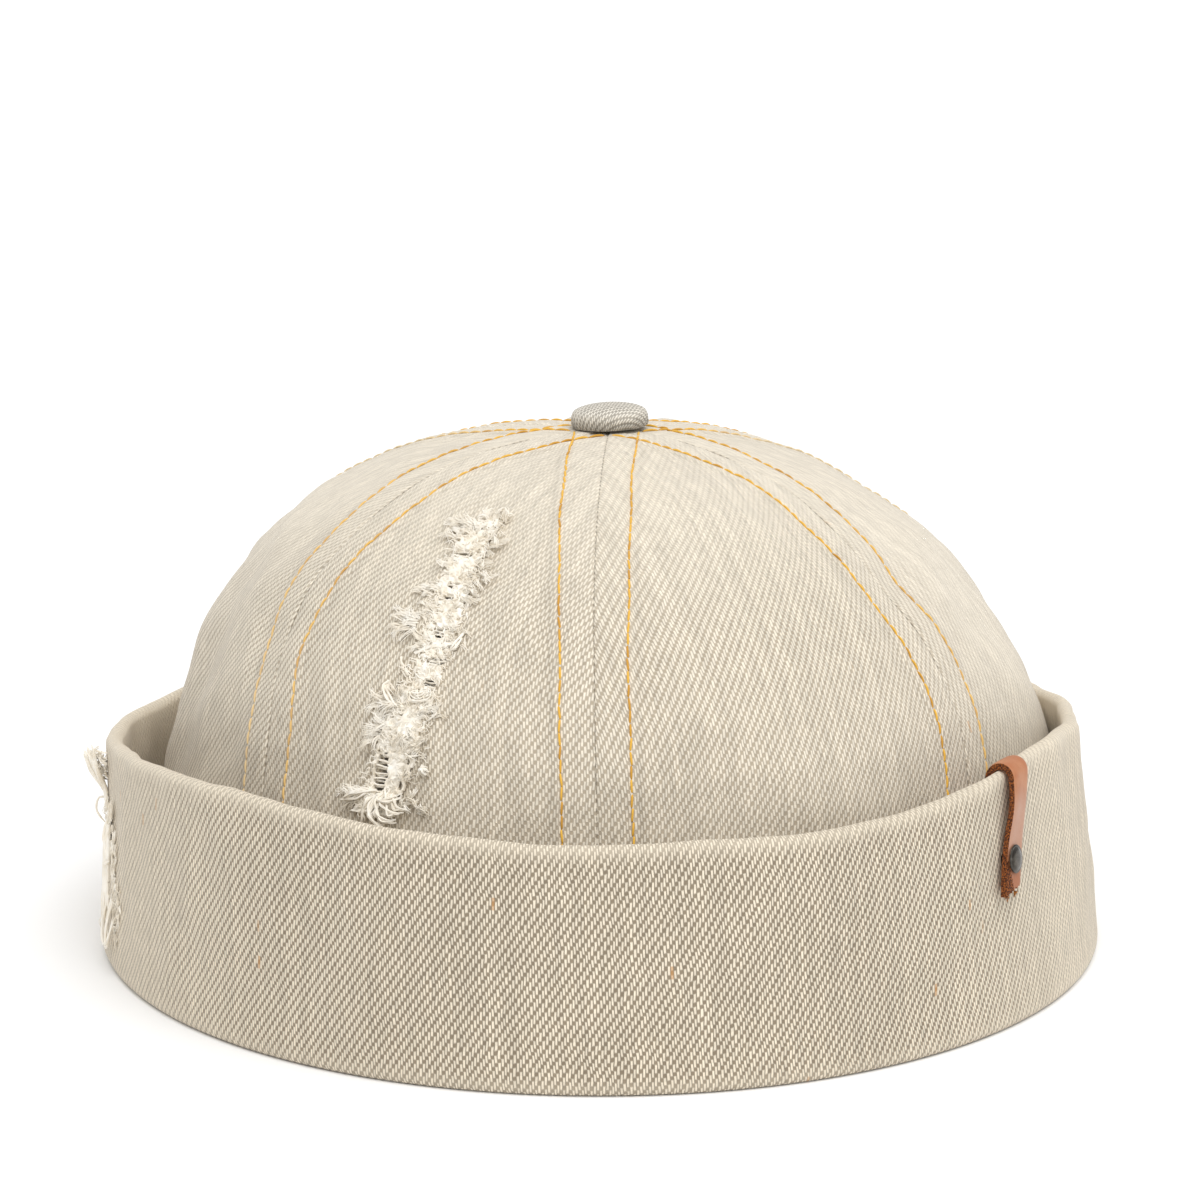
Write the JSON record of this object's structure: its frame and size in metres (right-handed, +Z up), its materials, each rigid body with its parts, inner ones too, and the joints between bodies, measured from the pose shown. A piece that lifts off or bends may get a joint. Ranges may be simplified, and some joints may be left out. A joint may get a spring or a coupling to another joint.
{
  "type": "brimless sailor cap",
  "caption": "Brimless denim sailor cap with a gored crown, a turned-up cuff, a cloth-covered button, a riveted leather tab and frayed tears.",
  "frame": {"origin": "on the surface that the cap stands on, under the middle of its box", "axes": "+Z up, -Y is the front of the cap, +X is the side with the leather tab"},
  "size_m": [0.1876, 0.2082, 0.0985],
  "materials": {
    "crown_denim": "undyed cotton denim, right-hand twill, matt, paler on top",
    "cuff_denim": "the same denim, a little darker, matt",
    "button_cloth": "finer greyer twill, matt",
    "cotton_fluff": "loose cream cotton yarn",
    "tab_leather": "tan vegetable-tanned leather, satin, raw rust-brown edges",
    "rivet_metal": "antiqued gunmetal, worn rim"
  },
  "bodies": {
    "root": {"panel_front_left": "crown_denim", "panel_left": "crown_denim", "panel_back_left": "crown_denim", "panel_back_right": "crown_denim", "panel_right": "crown_denim", "panel_front_right": "crown_denim", "crown_fray": "cotton_fluff", "cuff_fray": "cotton_fluff", "cuff": "cuff_denim", "tab_strap": "tab_leather", "tab_rivet": "rivet_metal", "top_button": "button_cloth"}
  },
  "joints": []
}
